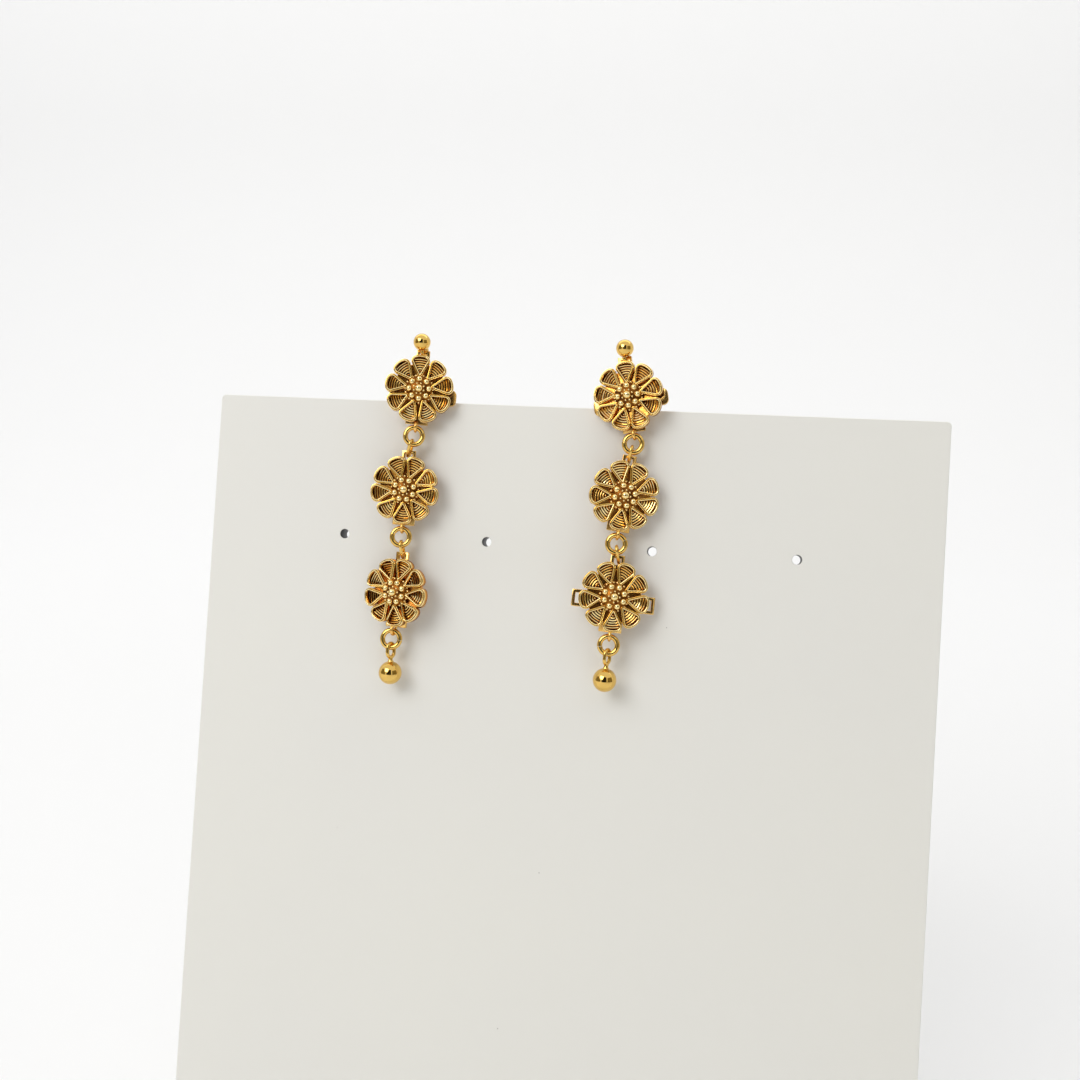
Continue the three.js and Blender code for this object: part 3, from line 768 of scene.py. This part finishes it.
END_BALL = 3.2
LOOP_LENGTH = 1.5
LOOP_WIDTH = 0.95
NECK_LENGTH = 0.35
NECK_DIAMETER = 0.8
DROP_WIRE = 0.5
ball_centre = -LOOP_LENGTH - LINK_WIRE - NECK_LENGTH - END_BALL / 2
upright = Matrix.Rotation(-math.pi / 2, 4, "X")
for name, swing, yaw in (("left_ball_drop", -2, -25), ("right_ball_drop", 3, -24)):
    direction = Vector((math.sin(math.radians(swing)), math.cos(math.radians(swing)), 0))
    side = direction.cross(Vector((0, 0, 1))).normalized()
    rotation = Matrix((side, direction, side.cross(direction))).transposed()
    rotation = rotation @ Matrix.Rotation(math.radians(yaw), 3, "Y")
    low, high = box_in(panel_points(name), rotation)
    origin = Vector(((low.x + high.x) / 2, low.y - ball_centre + END_BALL / 2, (low.z + high.z) / 2))
    bm = bmesh.new()
    layer = bm.verts.layers.float.new("tarnish_and_shade")
    profile, values = bead_profile(END_BALL / 2, 32)
    turned_form(bm, profile, layer, values, 48, Matrix.Translation((0, ball_centre, 0)) @ upright)
    neck_foot = ball_centre + END_BALL / 2 - 0.08
    neck_top = -LOOP_LENGTH - LINK_WIRE * 0.6
    radius = NECK_DIAMETER / 2
    neck = [
        (0.0, neck_top),
        (radius * 0.55, neck_top),
        (radius * 0.8, neck_top - 0.12),
        (radius * 0.72, (neck_top + neck_foot) / 2),
        (radius * 1.1, neck_foot + 0.03),
        (radius * 1.2, neck_foot - 0.1),
        (0.0, neck_foot - 0.2),
    ]
    along_loop = Matrix.Rotation(-math.pi / 2, 4, "X")
    turned_form(bm, neck, layer, [0.0] * len(neck), 28, along_loop)
    add_loop(
        bm,
        layer,
        (LOOP_WIDTH + LINK_WIRE) / 2,
        (LOOP_LENGTH - LOOP_WIDTH) / 2,
        DROP_WIRE / 2,
        Vector((0, -LOOP_LENGTH / 2, 0)),
        0.0,
        44,
        16,
    )
    place = Matrix.Translation(rotation @ origin) @ rotation.to_4x4()
    drop = place_piece(name + "_ball", bm, polished_gold, panel @ place)
    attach(drop, "root")
    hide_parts(name)


# EAR HOOKS
# A polished 2.4 mm ball with a small loop round the first flower's top bar. From the ball's back a plain
# 0.7 mm wire goes over the panel's top edge and down behind it.

HOOK_BALL = 2.4
HOOK_BALL_RISE = 1.22
HOOK_BALL_FORWARD = 1.1
HOOK_LOOP_HOLE = 0.96
HOOK_WIRE = 0.7
HOOK_SHOULDER = 1.35
HOOK_SETBACK = 1.2
HOOK_LEG = 12.0
SEAT_GAP = 0.3


def smooth_path(points, steps):
    """Even curve through points, rounded as a bent wire is."""
    ends = [points[0] * 2 - points[1]] + points + [points[-1] * 2 - points[-2]]
    path = []
    for a, b, c, d in zip(ends, ends[1:], ends[2:], ends[3:]):
        t0 = 0.0
        t1 = t0 + math.sqrt((b - a).length)
        t2 = t1 + math.sqrt((c - b).length)
        t3 = t2 + math.sqrt((d - c).length)
        for i in range(steps):
            t = t1 + (t2 - t1) * i / steps
            ab = a.lerp(b, (t - t0) / (t1 - t0))
            bc = b.lerp(c, (t - t1) / (t2 - t1))
            cd = c.lerp(d, (t - t2) / (t3 - t2))
            abc = ab.lerp(bc, (t - t0) / (t2 - t0))
            bcd = bc.lerp(cd, (t - t1) / (t3 - t1))
            path.append(abc.lerp(bcd, (t - t1) / (t2 - t1)))
    return path + [points[-1]]


for side_name in ("left", "right"):
    bar = flower_places[side_name + "_flower_1"] @ Vector((0, EYE_REACH - EYE_BAR / 2, FRAME_THICK / 2))
    radius = HOOK_WIRE / 2
    edge_y = -bar.y
    front = -bar.z
    rear = front - SHEET
    saddle = edge_y + radius + SEAT_GAP
    around = (radius + SEAT_GAP) * math.sqrt(0.5)
    clear = rear - radius - SEAT_GAP
    route = [
        (HOOK_SHOULDER, HOOK_BALL_FORWARD - radius),
        (HOOK_SHOULDER, 0),
        (HOOK_SHOULDER - radius, radius / 2 - HOOK_SETBACK),
        (0, -radius - HOOK_SETBACK),
        (saddle / 2, front - radius),
        (saddle + radius, front - HOOK_WIRE - radius / 2),
        (saddle, front - SHEET / 2 - radius),
        (saddle, rear),
        (edge_y + around, rear - around),
        (edge_y, clear),
        (edge_y - HOOK_LEG / 2, clear),
        (edge_y - HOOK_LEG, clear),
    ]
    path = smooth_path([Vector((0, y, z)) for y, z in route], 9)
    rings = []
    for i, point in enumerate(path):
        ahead = (path[min(i + 1, len(path) - 1)] - path[max(i - 1, 0)]).normalized()
        across = Vector((1, 0, 0))
        lift = across.cross(ahead)
        rings.append(
            [point + (across * math.cos(a) + lift * math.sin(a)) * radius for a in np.linspace(0, math.tau, 17)[:-1]]
        )
    # Round the cut end of the wire: share of its radius and distance back from the end
    end = path[-1]
    last = rings.pop()
    for share, back in ((1.0, 0.12), (0.9, 0.03), (0.6, 0.0)):
        rings.append([end + (p - end) * share + Vector((0, back, 0)) for p in last])
    bm = bmesh.new()
    layer = bm.verts.layers.float.new("tarnish_and_shade")
    loft(bm, rings, layer, [0.0] * len(rings))
    profile, values = bead_profile(HOOK_BALL / 2, 28)
    turned_form(bm, profile, layer, values, 44, Matrix.Translation((0, HOOK_BALL_RISE, HOOK_BALL_FORWARD)))
    add_loop(bm, layer, (HOOK_LOOP_HOLE + LINK_WIRE) / 2, 0.0, LINK_WIRE / 2, Vector(), 0.0)
    hook = place_piece(side_name + "_hook_and_ball", bm, polished_gold, panel @ Matrix.Translation(bar))
    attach(hook, "root")
    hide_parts(side_name + "_ear_hook")


# STUDIO
# A pale paper sweep, which is a floor that curves up into a backdrop, and soft light from the upper left.

paper, tree = new_material("matt white backdrop paper")
surface = add_node(tree, "ShaderNodeBsdfPrincipled", {"Base Color": linear("EFEFEF"), "Roughness": 0.9})
add_node(tree, "ShaderNodeOutputMaterial", {}, {"Surface": surface.outputs["BSDF"]})
bm = bmesh.new()
line = [(-1.2, 0.0)]
line += [(0.6 + 0.4 * math.sin(a), 0.4 - 0.4 * math.cos(a)) for a in np.linspace(0, math.pi / 2, 16)]
line += [(1.0, 2.0)]
low = [bm.verts.new((-2.0, y, z)) for y, z in line]
high = [bm.verts.new((2.0, y, z)) for y, z in line]
for i in range(len(line) - 1):
    bm.faces.new((low[i], high[i], high[i + 1], low[i + 1]))
sweep = place_piece("paper_sweep", bm, paper, Matrix.Identity(4))

world = bpy.data.worlds.new("studio")
bpy.context.scene.world = world
world.use_nodes = True
tree = world.node_tree
tree.nodes.clear()
background = add_node(tree, "ShaderNodeBackground", {"Color": linear("FFFFFF"), "Strength": 0.86})
add_node(tree, "ShaderNodeOutputWorld", {}, {"Surface": background.outputs["Background"]})

# Cards in front of the stand, which polished metal reflects as dark shapes: a black one behind the camera
# and a grey one low on each side. They stay out of every picture themselves.
CARDS = {
    "card_behind_camera": ((0.03, -0.75, 0.26), 0, 0.32, 0.52, "1A1714"),
    "card_left": ((-0.6, -0.35, 0.25), -60, 0.32, 0.27, "857B5A"),
    "card_right": ((0.6, -0.35, 0.25), 60, 0.32, 0.27, "857B5A"),
}
for name, (centre, yaw, half_width, half_height, colour) in CARDS.items():
    card_paper, tree = new_material("matt dark card")
    surface = add_node(tree, "ShaderNodeBsdfPrincipled", {"Base Color": linear(colour), "Roughness": 0.95})
    add_node(tree, "ShaderNodeOutputMaterial", {}, {"Surface": surface.outputs["BSDF"]})
    bm = bmesh.new()
    bmesh.ops.create_grid(bm, x_segments=1, y_segments=1, size=1)
    upright_card = Matrix.Rotation(math.pi / 2, 4, "X") @ Matrix.Diagonal((half_width, half_height, 1, 1))
    turned = Matrix.Translation(centre) @ Matrix.Rotation(math.radians(yaw), 4, "Z")
    card = place_piece(name, bm, card_paper, turned @ upright_card)
    card.visible_camera = False


def add_softbox(name, place, target, width, height, power):
    """Rectangular soft light aimed at a point."""
    data = bpy.data.lights.new(name, "AREA")
    data.shape = "RECTANGLE"
    data.size = width
    data.size_y = height
    data.energy = power
    light = bpy.data.objects.new(name, data)
    light.location = place
    light.rotation_euler = (Vector(target) - Vector(place)).to_track_quat("-Z", "Y").to_euler()
    bpy.context.scene.collection.objects.link(light)


add_softbox("key", (-0.3, -0.55, 0.5), (0, 0, 0.1), 0.45, 0.4, 2.2)
add_softbox("top", (-0.2, 0.45, 1.0), (-0.2, 0.7, 0.2), 2.0, 0.6, 4.0)

# The photograph's camera, from the panel's own directions
eye = Vector((20.43, -22.15, 148.02))
right = Vector((0.9863, 0.0609, -0.1532))
up = Vector((-0.0565, 0.9979, 0.0327))
turned_panel = panel.to_3x3().normalized()
right = (turned_panel @ right).normalized()
up = turned_panel @ up
up = (up - right * up.dot(right)).normalized()
lens = bpy.data.cameras.new("camera")
lens.sensor_width = 36
lens.lens = 36
lens.clip_start = 0.01
camera = bpy.data.objects.new("camera", lens)
camera.matrix_world = Matrix.Translation(panel @ eye) @ Matrix((right, up, right.cross(up))).transposed().to_4x4()
bpy.context.scene.collection.objects.link(camera)
bpy.context.scene.camera = camera
bpy.context.scene.view_settings.view_transform = "Standard"
